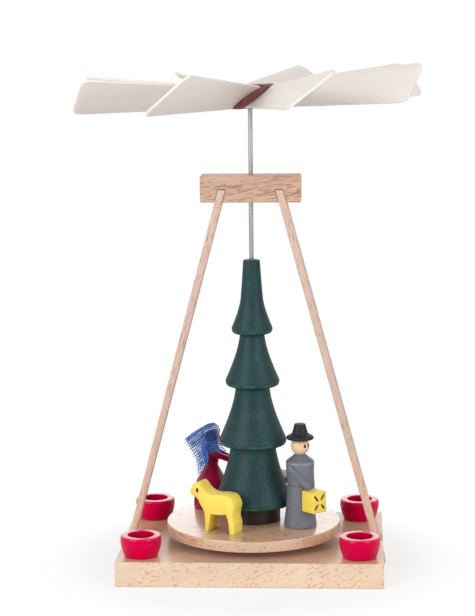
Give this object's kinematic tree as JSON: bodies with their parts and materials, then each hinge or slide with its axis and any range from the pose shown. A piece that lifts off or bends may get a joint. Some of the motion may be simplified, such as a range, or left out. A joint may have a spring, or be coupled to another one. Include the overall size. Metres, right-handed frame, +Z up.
{
  "type": "christmas pyramid",
  "caption": "Wooden candle pyramid: a bladed fan on a steel axle turns a plate with a turned tree, sheep, shepherd and veiled figure between slanted legs on a base board with candle cups.",
  "frame": {"origin": "On the underside of the base board, on the axle's axis.", "axes": "+Z up along the axle. +X to the right of the front view, toward the shepherd's side, along the board's long side. -Y toward the front, where the sheep stands."},
  "size_m": [0.1357, 0.1357, 0.2027],
  "materials": {
    "base_beech": "clear satin beech, warm pale tan with short brown flecks",
    "pink_beech": "clear satin beech, pinkish tan with darker grain streaks",
    "axle_steel": "bright drawn steel rod",
    "bearing_brass": "plain turned brass",
    "cup_crimson": "crimson gloss lacquer on turned wood, rim rubbed pale",
    "tree_green": "dark blue-green glaze on turned wood, satin",
    "trunk_brown": "black-brown stain, satin",
    "hub_red": "red-brown stain, satin",
    "blade_limewood": "bare pale limewood, matte",
    "coat_grey": "slate-grey satin paint on turned wood",
    "hat_black": "black satin paint on turned wood",
    "bare_maple": "clear satin pale wood with small painted eyes and mouth",
    "dress_red": "dark crimson satin paint on turned wood",
    "veil_blue": "blue tulle net, navy where it is doubled",
    "sheep_yellow": "lemon-yellow stain with the grain showing, satin",
    "crib_brown": "dark brown stain, satin",
    "linen_white": "off-white paint with a bare wood face"
  },
  "bodies": {
    "stand": {"base_board": "base_beech", "bearing_cup": "bearing_brass", "crossbar": "pink_beech", "left_leg": "pink_beech", "right_leg": "pink_beech", "candle_cup_front_left": "cup_crimson", "candle_cup_front_right": "cup_crimson", "candle_cup_rear_left": "cup_crimson", "candle_cup_rear_right": "cup_crimson"},
    "rotor": {"axle": "axle_steel", "crib": "crib_brown", "fan_blade_1": "blade_limewood", "fan_blade_2": "blade_limewood", "fan_blade_3": "blade_limewood", "fan_blade_4": "blade_limewood", "fan_blade_5": "blade_limewood", "fan_blade_6": "blade_limewood", "fan_blade_7": "blade_limewood", "fan_blade_8": "blade_limewood", "fan_hub": "hub_red", "lantern": "sheep_yellow", "sheep": "sheep_yellow", "shepherd_coat": "coat_grey", "shepherd_hat": "hat_black", "shepherd_head": "bare_maple", "shepherd_left_arm": "coat_grey", "shepherd_right_arm": "coat_grey", "swaddled_child": "linen_white", "tree_body": "tree_green", "tree_trunk": "trunk_brown", "turntable": "pink_beech", "veil": "veil_blue", "veiled_figure_dress": "dress_red", "veiled_figure_head": "bare_maple", "veiled_figure_left_arm": "dress_red", "veiled_figure_right_arm": "dress_red"}
  },
  "joints": [
    {"name": "rotor_spin", "type": "hinge", "parent": "stand", "child": "rotor", "pos_m": [0, 0, 0.0078], "axis": [0, 0, 1], "continuous": true}
  ]
}
